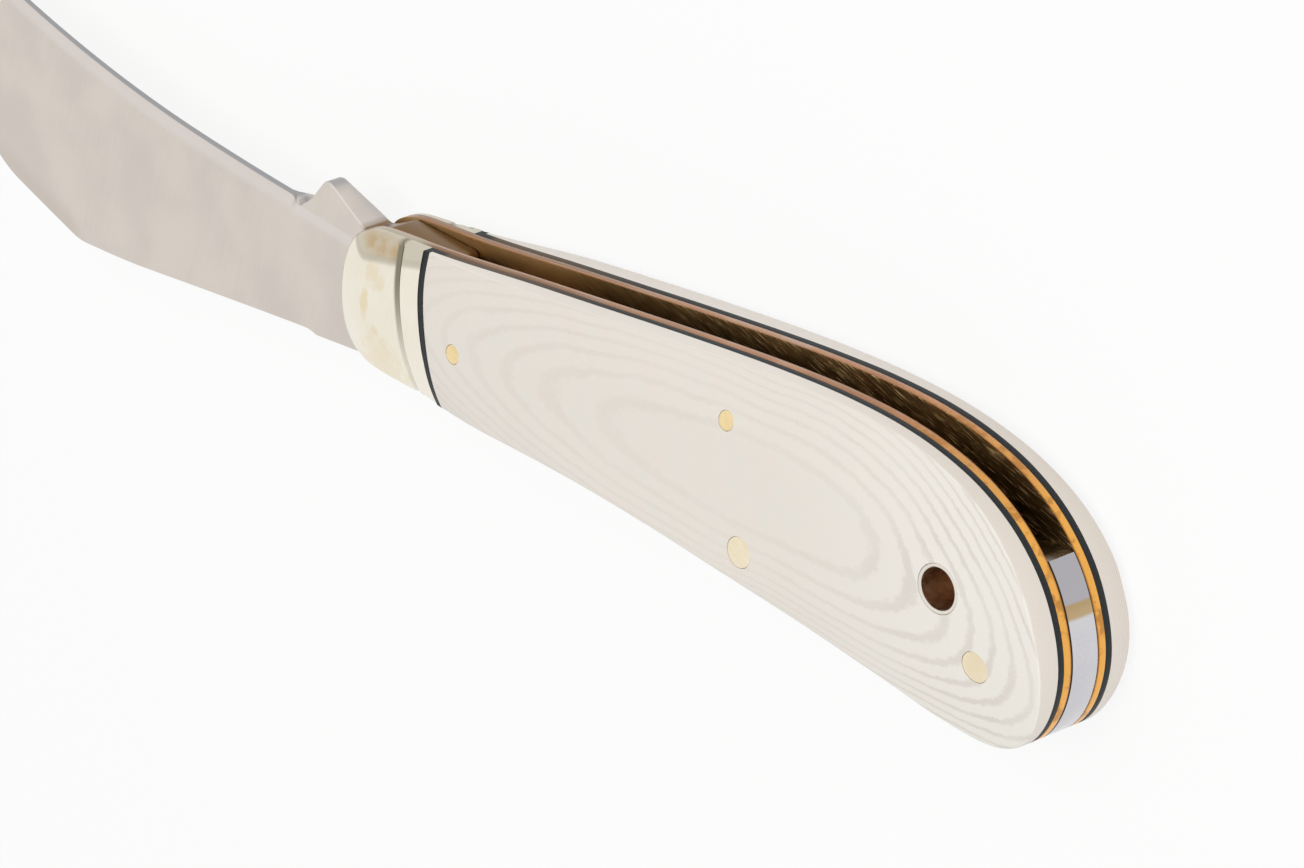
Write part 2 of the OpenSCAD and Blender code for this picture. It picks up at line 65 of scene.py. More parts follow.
def crownHeight(x, y):
    fall = crown["longRadius"] - math.sqrt(crown["longRadius"] ** 2 - (x - crown["crestX"]) ** 2)
    reach = crown["crossRadius"] - fall
    height = crown["crest"] - crown["crossRadius"] + math.sqrt(reach ** 2 - (y - crown["crestY"]) ** 2)
    return smoothMin(height, layers["land"], crown["blend"])


def rollHeight(x, y, rise):
    side = roll["radius"] - math.sqrt(roll["radius"] ** 2 - (y - roll["crestY"]) ** 2)
    return roll["height"] + math.tan(math.radians(rise)) * (x - roll["jointX"]) - side


def scaleHeight(x, y):
    return smoothMin(crownHeight(x, y), rollHeight(x, y, roll["scaleRise"]), roll["blend"])


def behindJoint(x, y):
    lean = math.radians(roll["jointLean"])
    return (x - roll["jointX"]) * math.cos(lean) + y * math.sin(lean)


# Outlines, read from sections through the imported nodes

close = {"weld": 0.002, "loopWeld": 0.004, "straight": 0.0015, "onFace": 0.003}  # counts as touching


def sectionLoops(node, height):
    bm = bmesh.new()
    bm.from_mesh(frame["nodes"][node].data)
    bmesh.ops.transform(bm, matrix=toShape, verts=bm.verts)
    bmesh.ops.remove_doubles(bm, verts=bm.verts, dist=close["weld"])
    bmesh.ops.bisect_plane(bm, geom=bm.verts[:] + bm.edges[:] + bm.faces[:], dist=0.0001,
                           plane_co=(0, 0, height), plane_no=(0, 0, 1), clear_inner=True, clear_outer=True)
    bmesh.ops.remove_doubles(bm, verts=bm.verts, dist=close["loopWeld"])
    loops, seen = [], set()
    for start in bm.verts:
        if start in seen:
            continue
        loop, at = [], start
        while at is not None:
            seen.add(at)
            loop.append(at.co.to_2d())
            at = next((e.other_vert(at) for e in at.link_edges if e.other_vert(at) not in seen), None)
        loops.append(straightened(loop))
    bm.free()
    return sorted(loops, key=lambda loop: -abs(loopArea(loop)))


def loopArea(loop):
    return sum(a.x * b.y - b.x * a.y for a, b in zip(loop, loop[1:] + loop[:1])) / 2


# Points that lie on the line between their neighbours go, and the loop runs anticlockwise.
def straightened(loop):
    if loopArea(loop) < 0:
        loop = loop[::-1]
    kept = []
    for i, p in enumerate(loop):
        a = kept[-1] if kept else loop[i - 1]
        b = loop[(i + 1) % len(loop)]
        span = b - a
        off = abs(span.x * (p.y - a.y) - span.y * (p.x - a.x))
        if span.length < 1e-6 or off / span.length > close["straight"]:
            kept.append(p)
    return kept


# A finer loop through the same points. Turns sharper than corner degrees stay sharp.
def smoothed(loop, piece, corner=28):
    count = len(loop)
    sides = [loop[(i + 1) % count] - loop[i] for i in range(count)]
    tangents = []
    for i in range(count):
        before, after = sides[i - 1], sides[i]
        sharp = before.angle(after) > math.radians(corner)
        tangents.append(None if sharp else (before + after).normalized())
    points = []
    for i in range(count):
        start, end, side = loop[i], loop[(i + 1) % count], sides[i]
        leave = (tangents[i] or side.normalized()) * side.length
        arrive = (tangents[(i + 1) % count] or side.normalized()) * side.length
        steps = max(1, math.ceil(side.length / piece))
        for k in range(steps):
            u = k / steps
            points.append(start * (2 * u ** 3 - 3 * u ** 2 + 1) + leave * (u ** 3 - 2 * u ** 2 + u)
                          + end * (3 * u ** 2 - 2 * u ** 3) + arrive * (u ** 3 - u ** 2))
    return points


# Solids

def prism(loop, low, high):
    bm = bmesh.new()
    floor = bm.faces.new([bm.verts.new((p.x, p.y, low)) for p in loop])
    grown = bmesh.ops.extrude_face_region(bm, geom=[floor])["geom"]
    roof = next(g for g in grown if isinstance(g, bmesh.types.BMFace))
    bmesh.ops.translate(bm, verts=roof.verts, vec=(0, 0, high - low))
    bmesh.ops.recalc_face_normals(bm, faces=bm.faces)
    return bm, floor, roof


def bevelRims(bm, faces, offset, segments=2):
    rims = list(dict.fromkeys(e for f in faces for e in f.edges))
    bmesh.ops.bevel(bm, geom=rims, offset=offset, offset_type="OFFSET", segments=segments, profile=0.5,
                    affect="EDGES", material=-1, clamp_overlap=True)


# Cuts the tagged faces along parallel lines, which run square to the direction given in degrees.
def cutAcross(bm, degrees, places):
    normal = Vector((math.cos(math.radians(degrees)), math.sin(math.radians(degrees)), 0))
    for at in places:
        faces = [f for f in bm.faces if f.material_index == 1]
        edges = list(dict.fromkeys(e for f in faces for e in f.edges))
        verts = list(dict.fromkeys(v for f in faces for v in f.verts))
        bmesh.ops.bisect_plane(bm, geom=verts + edges + faces, dist=0.001, plane_co=normal * at,
                               plane_no=normal)


def evenPlaces(loop, degrees, spacing):
    normal = Vector((math.cos(math.radians(degrees)), math.sin(math.radians(degrees))))
    reach = [p.dot(normal) for p in loop]
    count = math.ceil((max(reach) - min(reach)) / spacing)
    return [min(reach) + (max(reach) - min(reach)) * k / count for k in range(1, count)]


# Shared by the finely shaped pieces: length of an outline's steps, least height, and the rim at the joint
relief = {"piece": 0.75, "least": 0.012, "flushDrop": 0.02, "fade": (1.15, 1.7)}
roundSides = 64  # of every pin and drilled hole


# A prism whose roof is cut into a fine grid and lifted to heightAt. Its rim is rounded: edgeAt gives the
# width and the drop of the rounding.
def reliefSolid(loop, low, heightAt, edgeAt, rings, cuts):
    bm, floor, roof = prism(loop, low, low + 1)
    inset = {v: 0.0 for v in roof.verts}
    depth = 0.0
    for step in rings:
        border = bmesh.ops.inset_region(bm, faces=[roof], thickness=step, use_even_offset=True,
                                        use_boundary=True)["faces"]
        inner = set(roof.verts)
        for face in border:
            for v in face.verts:
                if v not in inner:
                    inset[v] = depth
        depth += step
        for v in roof.verts:
            inset[v] = depth
    roof.material_index = 1
    for degrees, places in cuts:
        cutAcross(bm, degrees, places)
    for v in bm.verts:
        v.tag = v.co.z > low + 0.5
        if v.tag:
            x, y = v.co.x, v.co.y
            width, drop = edgeAt(x, y)
            short = max(0, 1 - inset.get(v, depth) / width)
            v.co.z = max(heightAt(x, y) - drop * (1 - math.sqrt(1 - short ** 2)), low + relief["least"])
    for face in bm.faces:
        face.material_index = 1 if all(v.tag for v in face.verts) else 0
    return bm, floor


def withHoles(bm, holes, reach=20):
    solids = []
    for label in ("solid", "drills"):
        mesh = bpy.data.meshes.new(label)
        if label == "drills":
            bm.free()
            bm = bmesh.new()
            for at, radius in holes:
                bmesh.ops.create_cone(bm, cap_ends=True, segments=roundSides, radius1=radius, radius2=radius,
                                      depth=reach, matrix=Matrix.Translation((at[0], at[1], 0)))
        bm.to_mesh(mesh)
        mesh.materials.append(None)
        mesh.materials.append(None)
        solid = bpy.data.objects.new(label, mesh)
        bpy.context.scene.collection.objects.link(solid)
        solids.append(solid)
    bm.free()
    body, drills = solids
    cut = body.modifiers.new("holes", "BOOLEAN")
    cut.operation, cut.solver, cut.object = "DIFFERENCE", "EXACT", drills
    bpy.context.view_layer.update()
    result = bpy.data.meshes.new_from_object(body.evaluated_get(bpy.context.evaluated_depsgraph_get()))
    bm = bmesh.new()
    bm.from_mesh(result)
    for solid in solids:
        bpy.data.meshes.remove(solid.data)
    bpy.data.meshes.remove(result)
    return bm


def mirrored(bm):
    other = bm.copy()
    bmesh.ops.scale(other, vec=(1, 1, -1), verts=other.verts)
    bmesh.ops.reverse_faces(other, faces=other.faces)
    return other


# Sets a shape into the frame as a piece that stands for a node.
def makePiece(name, bm, nodes, materials, sharp=32, heightAt=None, side=1, tones=None):
    bmesh.ops.recalc_face_normals(bm, faces=bm.faces)
    if bm.calc_volume(signed=True) < 0:
        bmesh.ops.reverse_faces(bm, faces=bm.faces)
    normals = reliefNormals(bm, heightAt, side) if heightAt else None
    if len(materials) == 1:
        for face in bm.faces:
            face.material_index = 0
    places = [v.co.copy() for v in bm.verts]
    bmesh.ops.transform(bm, matrix=toFrame, verts=bm.verts)
    for face in bm.faces:
        face.smooth = True
    for edge in bm.edges:
        edge.smooth = edge.calc_face_angle(0) < math.radians(sharp)
    mesh = bpy.data.meshes.new(name)
    bm.to_mesh(mesh)
    bm.free()
    if normals:
        mesh.normals_split_custom_set(normals)
    for label, toneAt in (tones or {}).items():
        layer = mesh.attributes.new(label, "FLOAT", "POINT")
        for place, entry in zip(places, layer.data):
            entry.value = toneAt(place)
    for material in materials:
        mesh.materials.append(material)
    piece = bpy.data.objects.new(name, mesh)
    bpy.context.scene.collection.objects.link(piece)
    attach(piece, "blade" if nodes == ["blade"] else "handle")
    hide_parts(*nodes)
    return piece


# Normals of the relief, worked out from its height, so that the grid doesn't show in reflections. The
# rounded rim keeps the mesh's own.
def reliefNormals(bm, heightAt, side):
    step = 0.02
    known, normals = {}, []
    for face in bm.faces:
        for v in face.verts:
            if v not in known:
                x, y = v.co.x, v.co.y
                known[v] = None
                if abs(abs(v.co.z) - heightAt(x, y)) < close["onFace"]:
                    slopeX = (heightAt(x + step, y) - heightAt(x - step, y)) / (2 * step)
                    slopeY = (heightAt(x, y + step) - heightAt(x, y - step)) / (2 * step)
                    known[v] = Vector((-slopeX, -slopeY, 1)).normalized()
            n = known[v]
            if n is None or abs(face.normal.z) < 0.5:
                normals.append((0, 0, 0))
            else:
                normals.append((n.x, n.y, n.z * (side or math.copysign(1, v.co.z))))
    return normals


def smoothStep(value, low, high):
    t = min(max((value - low) / (high - low), 0), 1)
    return t * t * (3 - 2 * t)


# Materials

def newMaterial(name, colour, roughness, metallic=0.0):
    material = bpy.data.materials.new(name)
    material.use_nodes = True
    shader = material.node_tree.nodes["Principled BSDF"]
    shader.inputs["Base Color"].default_value = (*colour, 1)
    shader.inputs["Roughness"].default_value = roughness
    shader.inputs["Metallic"].default_value = metallic
    material.diffuse_color = (*colour, 1)
    return material, shader


def addNode(tree, kind, inputs=None, **settings):
    node = tree.nodes.new(kind)
    for key, value in settings.items():
        setattr(node, key, value)
    for key, value in (inputs or {}).items():
        if isinstance(value, bpy.types.NodeSocket):
            tree.links.new(value, node.inputs[key])
        else:
            node.inputs[key].default_value = value
    return node


def mathNode(tree, operation, a, b=0.0):
    return addNode(tree, "ShaderNodeMath", {0: a, 1: b}, operation=operation).outputs[0]


# Gives a function that joins two or more values, with one Math node for each step
def chained(operation):
    def joined(tree, value, *others):
        for other in others:
            value = mathNode(tree, operation, value, other)
        return value
    return joined


add, subtract, multiply, divide, larger, isAbove = (
    chained(word) for word in ("ADD", "SUBTRACT", "MULTIPLY", "DIVIDE", "MAXIMUM", "GREATER_THAN"))


def square(tree, value):
    return mathNode(tree, "POWER", value, 2.0)


def withAlpha(colour):
    return colour if isinstance(colour, bpy.types.NodeSocket) else (*colour, 1)


def mixColour(tree, share, a, b):
    inputs = {0: share, 6: withAlpha(a), 7: withAlpha(b)}
    return addNode(tree, "ShaderNodeMix", inputs, data_type="RGBA").outputs[2]


# A soft step from one value to another. It falls where low is above high.
def rangeOf(tree, value, low, high, toLow=0.0, toHigh=1.0):
    inputs = {"Value": value, "From Min": low, "From Max": high, "To Min": toLow, "To Max": toHigh}
    node = addNode(tree, "ShaderNodeMapRange", inputs, clamp=True, interpolation_type="SMOOTHSTEP")
    return node.outputs[0]


def noiseOf(tree, place, scale, detail, roughness=0.5):
    inputs = {"Vector": place, "Scale": scale, "Detail": detail, "Roughness": roughness}
    return addNode(tree, "ShaderNodeTexNoise", inputs).outputs[0]


def partsOf(tree, vector):
    return addNode(tree, "ShaderNodeSeparateXYZ", {0: vector}).outputs


def surfaceNormal(tree):
    return partsOf(tree, addNode(tree, "ShaderNodeNewGeometry").outputs["Normal"])


def toneOf(tree, label):
    return addNode(tree, "ShaderNodeAttribute", attribute_name=label).outputs["Fac"]


# Object coordinates in millimetres round the pivot axis
def shapeCoordinates(tree):
    inputs = {"Vector": addNode(tree, "ShaderNodeTexCoord").outputs["Object"], "Scale": (1000, 1000, 1000),
              "Location": tuple(-1000 * c for c in pivot)}
    return addNode(tree, "ShaderNodeMapping", inputs).outputs[0]


# Shared effect: fine lines drawn out along one direction, and a soft cloud
def makeGrainGroup():
    group = bpy.data.node_groups.new("fineGrain", "ShaderNodeTree")
    for label, kind in (("Place", "Vector"), ("Turn", "Float"), ("Along", "Float"), ("Across", "Float")):
        group.interface.new_socket(label, in_out="INPUT", socket_type="NodeSocket" + kind)
    for label in ("Lines", "Cloud"):
        group.interface.new_socket(label, in_out="OUTPUT", socket_type="NodeSocketFloat")
    start = group.nodes.new("NodeGroupInput").outputs
    end = group.nodes.new("NodeGroupOutput").inputs
    turned = addNode(group, "ShaderNodeVectorRotate", {"Vector": start["Place"], "Angle": start["Turn"]},
                     rotation_type="Z_AXIS")
    x, y, z = partsOf(group, turned.outputs[0])
    stretched = addNode(group, "ShaderNodeCombineXYZ", {
        0: multiply(group, x, start["Along"]), 1: multiply(group, y, start["Across"]),
        2: multiply(group, z, start["Across"])})
    group.links.new(noiseOf(group, stretched.outputs[0], 1.0, 3.0, 0.6), end["Lines"])
    group.links.new(noiseOf(group, start["Place"], 0.12, 2.0), end["Cloud"])
    return group


grainGroup = makeGrainGroup()


# What a finish is drawn from: the place, whole and in parts, and the grain's two noises
def sourcesOf(tree, finish):
    place = shapeCoordinates(tree)
    grain = addNode(tree, "ShaderNodeGroup", {
        "Place": place, "Turn": math.radians(finish["turn"]), "Along": finish["along"],
        "Across": finish["across"]}, node_tree=grainGroup).outputs
    x, y, z = partsOf(tree, place)
    return {"place": place, "x": x, "y": y, "z": z, "lines": grain["Lines"], "cloud": grain["Cloud"]}


# Other values that can limit a stain. Pieces further on add their own.
measures = {
    "height": lambda tree, at: mathNode(tree, "ABSOLUTE", at["z"]),
    "facing": lambda tree, at: surfaceNormal(tree)[1],
    "wavyX": lambda tree, at: add(tree, at["x"], multiply(tree, at["cloud"], 14)),
    "wavyY": lambda tree, at: add(tree, at["y"], multiply(tree, at["cloud"], 0.6)),
    "spots": lambda tree, at: noiseOf(tree, at["place"], 0.45, 3.0, 0.6),
    "patches": lambda tree, at: noiseOf(tree, at["place"], 0.7, 3.0)}


def limitStep(tree, at, word, *span):
    if word not in at:
        at[word] = measures[word](tree, at)
    return rangeOf(tree, at[word], *span)


# How much a stain covers: its own mask or tone, or else a soft step at each limit. The steps of "limits"
# multiply, and of those of "either" the largest counts.
def stainMask(tree, at, stain):
    if "mask" in stain:
        cover = stain["mask"](tree, at)
    elif "tone" in stain:
        cover = toneOf(tree, stain["tone"])
    elif "either" in stain:
        cover = larger(tree, *(limitStep(tree, at, *limit) for limit in stain["either"]))
    else:
        cover = multiply(tree, *(limitStep(tree, at, *limit) for limit in stain["limits"]))
    return multiply(tree, cover, stain.get("share", 1.0))


def addBump(tree, shader, height, strength, metres=0.00002):
    bump = addNode(tree, "ShaderNodeBump", {"Height": height, "Strength": strength, "Distance": metres})
    tree.links.new(bump.outputs[0], shader.inputs["Normal"])


toneSpan, roughSpan = (0.35, 0.65), (0.3, 0.7)  # where the noises run from one end to the other


# A metal with fine lines: two tones, stains over them in turn, and roughness and bump from the lines
def grainedMetal(name, finish):
    material, shader = newMaterial(name, finish["colour"], finish["roughness"], 1.0)
    tree = material.node_tree
    at = sourcesOf(tree, finish)
    tone = add(tree, multiply(tree, at["lines"], finish["lineShare"]),
               multiply(tree, at["cloud"], 1 - finish["lineShare"]))
    colour = mixColour(tree, rangeOf(tree, tone, *toneSpan), finish["darkColour"], finish["colour"])
    for stain in finish.get("stains", ()):
        colour = mixColour(tree, stainMask(tree, at, stain), colour, stain["colour"])
    tree.links.new(colour, shader.inputs["Base Color"])
    spread = finish["roughSpread"]
    ends = (finish["roughness"] - spread, finish["roughness"] + spread)
    tree.links.new(rangeOf(tree, at["lines"], *roughSpan, *ends), shader.inputs["Roughness"])
    addBump(tree, shader, at["lines"], finish["bump"])
    return material


springFinish = {
    "colour": (0.66, 0.65, 0.675), "darkColour": (0.58, 0.57, 0.60), "roughness": 0.2, "roughSpread": 0.05,
    "turn": 0, "along": 0.5, "across": 5.0, "lineShare": 0.4, "bump": 0.06, "stains": [
        # the end's darker part is a painted reflection, and a brown band runs across it
        {"colour": (0.40, 0.39, 0.41), "share": 0.85, "limits": [("y", -2.6, -1.6), ("x", 86, 88)]},
        {"colour": (0.47, 0.31, 0.10), "share": 0.8,
         "limits": [("wavyY", -2.75, -2.3), ("wavyY", -1.0, -1.3), ("x", 86, 88)]},
        # painted shade on the side that faces the slot, down between the liners, not on the back
        {"colour": (0.05, 0.03, 0.012), "share": 0.9, "limits": [("x", 88.3, 87.3), ("facing", -0.2, 0.2)]},
        # painted shade: dark lines along the liners, in the gaps beside them
        {"colour": (0.03, 0.02, 0.012), "either": [("z", 1.58, 1.66), ("z", -1.66, -1.74)]}]}

linerFinish = {
    "colour": (0.55, 0.27, 0.13), "darkColour": (0.37, 0.18, 0.09), "roughness": 0.26, "roughSpread": 0.08,
    "turn": 0, "along": 0.6, "across": 8.0, "lineShare": 0.4, "bump": 0.12, "stains": [
        # pale patches in front, gold towards the butt, brown spots in it
        {"colour": (0.47, 0.31, 0.22), "share": 0.75, "limits": [("cloud", 0.5, 0.62), ("x", 66, 58)]},
        {"colour": (0.86, 0.43, 0.095), "limits": [("wavyX", 76, 96)]},
        {"colour": (0.44, 0.19, 0.05), "share": 0.7, "limits": [("spots", 0.5, 0.62), ("x", 60, 75)]},
        # the outer part of the edge near the joint; painted shade on the inner part along the slot and on
        # the front tip
        {"colour": (0.24, 0.115, 0.045),
         "limits": [("x", 40, 16), ("height", 2.0, 2.3), ("cloud", 0.25, 0.6, 0.6, 1.0)]},
        {"colour": (0.30, 0.115, 0.035), "share": 0.75, "either": [("height", 2.05, 1.86), ("x", -1, -8)]},
        # the near liner's edge beside the bolster has taken on its pale tone
        {"colour": (0.50, 0.44, 0.34), "share": 0.9, "limits": [("z", 1.9, 2.05), ("x", 3.8, 0.2)]}]}

slotFinish = {
    "colour": (0.28, 0.175, 0.07), "darkColour": (0.12, 0.07, 0.025), "roughness": 0.4, "roughSpread": 0.1,
    "turn": 18, "along": 0.4, "across": 9.0, "lineShare": 0.7, "bump": 0.25, "stains": [
        # lighter at the front, scratched further back
        {"colour": (0.40, 0.25, 0.105), "limits": [("x", 26, 14)]},
        {"colour": (1.0, 0.74, 0.38), "share": 0.95, "limits": [("lines", 0.57, 0.65), ("x", 25, 60)]}]}

shoulder = {"x": -4.8, "y": 2.55, "slope": 0.228, "curl": 0.28, "waver": 0.4}
# Yellowish painted reflections on the bolster, each with a place, a reach and a share
yellowReflections = [
    {"at": (-3.1, 1.4), "reach": (2.0, 1.5), "share": 0.45},
    {"at": (-4.4, -1.8), "reach": (0.75, 1.9), "share": 0.7},
    {"at": (-2.7, -4.3), "reach": (0.8, 0.7), "share": 0.6},
    {"at": (-1.9, -7.6), "reach": (4.4, 3.4), "share": 0.4}]


# How far a place lies past the border of the bolster's shoulder, which is painted darker beside the slot: a
# painted reflection, with brown tarnish in it
def pastShoulder(tree, at):
    ahead = subtract(tree, shoulder["x"], at["x"])
    curl = multiply(tree, square(tree, larger(tree, ahead, 0.0)), shoulder["curl"])
    border = add(tree, multiply(tree, ahead, -shoulder["slope"]), curl)
    past = subtract(tree, at["y"], shoulder["y"], border)
    return add(tree, past, multiply(tree, at["cloud"], shoulder["waver"]))


# Where the yellow reflections are painted on the bolster
def yellowReflectionMask(tree, at):
    ragged = multiply(tree, subtract(tree, noiseOf(tree, at["place"], 0.9, 3.0), 0.5), 2.4)
    cover = 0.0
    for reflectionPatch in yellowReflections:
        squares = [square(tree, divide(tree, subtract(tree, at[word], middle), reach))
                   for word, middle, reach in zip("xy", reflectionPatch["at"], reflectionPatch["reach"])]
        cover = larger(tree, cover, rangeOf(tree, add(tree, *squares, ragged), 1.2, 0.1, 0.0, reflectionPatch["share"]))
    return cover


measures["shoulder"] = pastShoulder
bolsterFinish = {
    "colour": (0.86, 0.815, 0.71), "darkColour": (0.82, 0.765, 0.65), "roughness": 0.17, "roughSpread": 0.03,
    "turn": 90, "along": 0.3, "across": 4.0, "lineShare": 0.4, "bump": 0.03, "stains": [
        # painted yellow reflections
        {"colour": (0.76, 0.63, 0.39), "mask": yellowReflectionMask},
        # the shoulder's painted reflection, its brown patch and the painted dark line along its border
        {"colour": (0.56, 0.51, 0.41), "share": 0.85, "limits": [("shoulder", 0.0, 0.8)]},
        {"colour": (0.52, 0.38, 0.215), "share": 0.95,
         "limits": [("x", -7.2, -4.2), ("x", 0.8, -0.8), ("patches", 0.3, 0.62, 0.35, 1.0), ("y", 2.6, 4.4),
                    ("y", 6.2, 4.6)]},
        {"colour": (0.36, 0.33, 0.26), "share": 0.45,
         "limits": [("shoulder", -0.2, 0.3), ("shoulder", 1.1, 0.3)]},
        # painted shade in the groove
        {"colour": (0.24, 0.22, 0.165), "tone": "grooveShade"}]}

pinFinish = {"colour": (0.90, 0.81, 0.64), "darkColour": (0.80, 0.69, 0.48), "roughness": 0.36,
             "roughSpread": 0.08, "turn": 35, "along": 0.8, "across": 3.0, "lineShare": 0.4, "bump": 0.12}
brassPinFinish = {**pinFinish, "colour": (0.90, 0.75, 0.45), "darkColour": (0.82, 0.63, 0.32)}
tubeFinish = {**pinFinish, "colour": (0.80, 0.765, 0.70), "darkColour": (0.74, 0.69, 0.61),
              "roughness": 0.34, "roughSpread": 0.06, "turn": 0, "along": 3.0, "lineShare": 0.5, "bump": 0.1}
boreFinish = {**pinFinish, "colour": (0.72, 0.50, 0.33), "darkColour": (0.5, 0.33, 0.2), "roughness": 0.42,
              "turn": 0, "along": 2.0, "across": 2.0, "lineShare": 0.5, "bump": 0.2}

springSteel = grainedMetal("springSteel", springFinish)
linerBrass = grainedMetal("linerBrass", linerFinish)
slotPatina = grainedMetal("slotPatina", slotFinish)
nickelSilver = grainedMetal("nickelSilver", bolsterFinish)
pinMetal = grainedMetal("pinNickel", pinFinish)
pinBrass = grainedMetal("pinBrass", brassPinFinish)
tubeMetal = grainedMetal("tubeNickel", tubeFinish)
tubeBore = grainedMetal("tubeBore", boreFinish)

fibreFinish = {
    "colour": (0.011, 0.0135, 0.015), "paleColour": (0.028, 0.031, 0.034), "roughness": 0.5, "gloss": 0.2,
    "turn": 0, "along": 1.5, "across": 9.0, "bump": 0.2,
    "front": {"colour": (0.13, 0.085, 0.05), "share": 0.85,
              "limits": [("x", 34, 10), ("x", 5.2, 6.2), ("y", 2, 4)]}}


def makeFibre():
    material, shader = newMaterial("blackFibre", fibreFinish["colour"], fibreFinish["roughness"])
    tree = material.node_tree
    at = sourcesOf(tree, fibreFinish)
    tone = rangeOf(tree, at["lines"], 0.3, 0.75)
    colour = mixColour(tree, tone, fibreFinish["colour"], fibreFinish["paleColour"])
    front = fibreFinish["front"]
    colour = mixColour(tree, stainMask(tree, at, front), colour, front["colour"])
    tree.links.new(colour, shader.inputs["Base Color"])
    shader.inputs["Specular IOR Level"].default_value = fibreFinish["gloss"]
    addBump(tree, shader, at["lines"], fibreFinish["bump"])
    return material


ivoryFinish = {
    "colour": (0.81, 0.76, 0.695), "pinkColour": (0.825, 0.755, 0.695), "greenColour": (0.795, 0.77, 0.705),
    "buttColour": (0.85, 0.825, 0.765), "wallColour": (0.81, 0.745, 0.67),
    # the lit front wall colour is painted light
    "litFrontWallColour": (0.90, 0.845, 0.775), "lineColour": (0.60, 0.54, 0.485),
    "speckColour": (0.62, 0.57, 0.50), "roughness": 0.42, "roughEnds": (0.36, 0.5), "bump": 0.08,
    "sheet": 0.22, "warp": 0.7, "fineWarp": 0.42, "grit": 1.2, "leastUpright": 0.6,
    "line": (0.7, 1.7, 0.0, 0.55), "crestFree": (0.35, 0.9), "patch": (0.3, 0.7, 0.55, 1.0),
    "lineAlong": (55, 85, 0.42, 1.0), "tint": (0.38, 0.62), "buttAlong": (55, 84, 0.0, 0.85),
    "wallAlong": (50, 80), "speck": (0.6, 0.8, 0.0, 0.22)}
contours = {"centreX": 56.5, "centreY": -0.5, "backLength": 15.0, "frontLength": 23.5, "halfWidth": 4.9,
            "spread": 0.055, "lean": 0.0065, "steepening": 0.055}


# How many sheets of the laminate are ground through. Rings are closed round the crest, longer to the front,
# and behind it they spread and lean towards the end pin.
def sheetsThrough(tree, x, y):
    along = subtract(tree, x, contours["centreX"])
    behind = larger(tree, along, 0.0)
    shorter = contours["backLength"] - contours["frontLength"]
    length = add(tree, multiply(tree, isAbove(tree, along, 0.0), shorter), contours["frontLength"])
    halfWidth = add(tree, multiply(tree, behind, contours["spread"]), contours["halfWidth"])
    lean = multiply(tree, square(tree, behind), contours["lean"])
    across = add(tree, subtract(tree, y, contours["centreY"]), lean)
    depth = add(tree, square(tree, divide(tree, along, length)),
                square(tree, divide(tree, across, halfWidth)))
    return add(tree, depth, multiply(tree, depth, depth, contours["steepening"]))


# Ivory laminate. Its sheets lie flat, so their joints show as contour rings where the crown cuts them.
def makeIvory():
    finish = ivoryFinish
    material, shader = newMaterial("ivoryLaminate", finish["colour"], finish["roughness"])
    tree = material.node_tree
    place = shapeCoordinates(tree)
    x, y, z = partsOf(tree, place)
    depth = sheetsThrough(tree, x, y)
    onTop = isAbove(tree, mathNode(tree, "ABSOLUTE", surfaceNormal(tree)[2]), finish["leastUpright"])
    upright = subtract(tree, 1.0, onTop)
    wide = noiseOf(tree, place, 0.11, 2.0)
    fine = noiseOf(tree, place, 1.1, 3.0, 0.6)
    sheetAt = add(tree, multiply(tree, depth, onTop),
                  multiply(tree, divide(tree, z, finish["sheet"]), upright),
                  multiply(tree, subtract(tree, wide, 0.5), finish["warp"]),
                  multiply(tree, subtract(tree, fine, 0.5), finish["fineWarp"]))
    wave = mathNode(tree, "COSINE", multiply(tree, sheetAt, 2 * math.pi))
    gritty = add(tree, wave, multiply(tree, noiseOf(tree, place, 4.0, 3.0, 0.7), finish["grit"]))
    line = multiply(tree, rangeOf(tree, gritty, *finish["line"]),
                    larger(tree, rangeOf(tree, depth, *finish["crestFree"]), upright),
                    rangeOf(tree, wide, *finish["patch"]), rangeOf(tree, x, *finish["lineAlong"]))
    tint = rangeOf(tree, noiseOf(tree, place, 0.28, 2.0), *finish["tint"])
    top = mixColour(tree, tint, finish["pinkColour"], finish["greenColour"])
    top = mixColour(tree, 0.5, top, finish["colour"])
    top = mixColour(tree, rangeOf(tree, x, *finish["buttAlong"]), top, finish["buttColour"])
    # Painted light: the side wall is lighter towards the front, to make up for the shade that falls on it
    wallShare = rangeOf(tree, x, *finish["wallAlong"])
    wall = mixColour(tree, wallShare, finish["litFrontWallColour"], finish["wallColour"])
    colour = mixColour(tree, onTop, wall, top)
    colour = mixColour(tree, line, colour, finish["lineColour"])
    specks = noiseOf(tree, place, 7.0, 2.0, 0.7)
    colour = mixColour(tree, rangeOf(tree, specks, *finish["speck"]), colour, finish["speckColour"])
    tree.links.new(colour, shader.inputs["Base Color"])
    tree.links.new(rangeOf(tree, fine, *roughSpan, *finish["roughEnds"]), shader.inputs["Roughness"])
    addBump(tree, shader, specks, finish["bump"], 0.00003)
    return material


blackFibre = makeFibre()
ivoryLaminate = makeIvory()
print("materials made")

# Pins and tube

pins = {"through": [(52.8, -8.3), (84.4048, -8.85)], "throughRadius": 1.6,
        "short": [(10.35, -2.2), (50.3, 4.75)], "shortRadius": 1.0, "pivotRadius": 1.6, "gap": 0.04,
        "plateGap": 0.02, "rings": (0.06, 0.10), "dome": 0.04}
tube = {"at": (79.6048, -2.3), "bore": 2.15, "outer": 2.55, "gap": 0.015, "rim": 0.08, "high": 6.9}
rivets = {"places": ((-4.6, -5.0), (-4.6, 2.0)), "radius": 0.8, "sunk": 0.65}


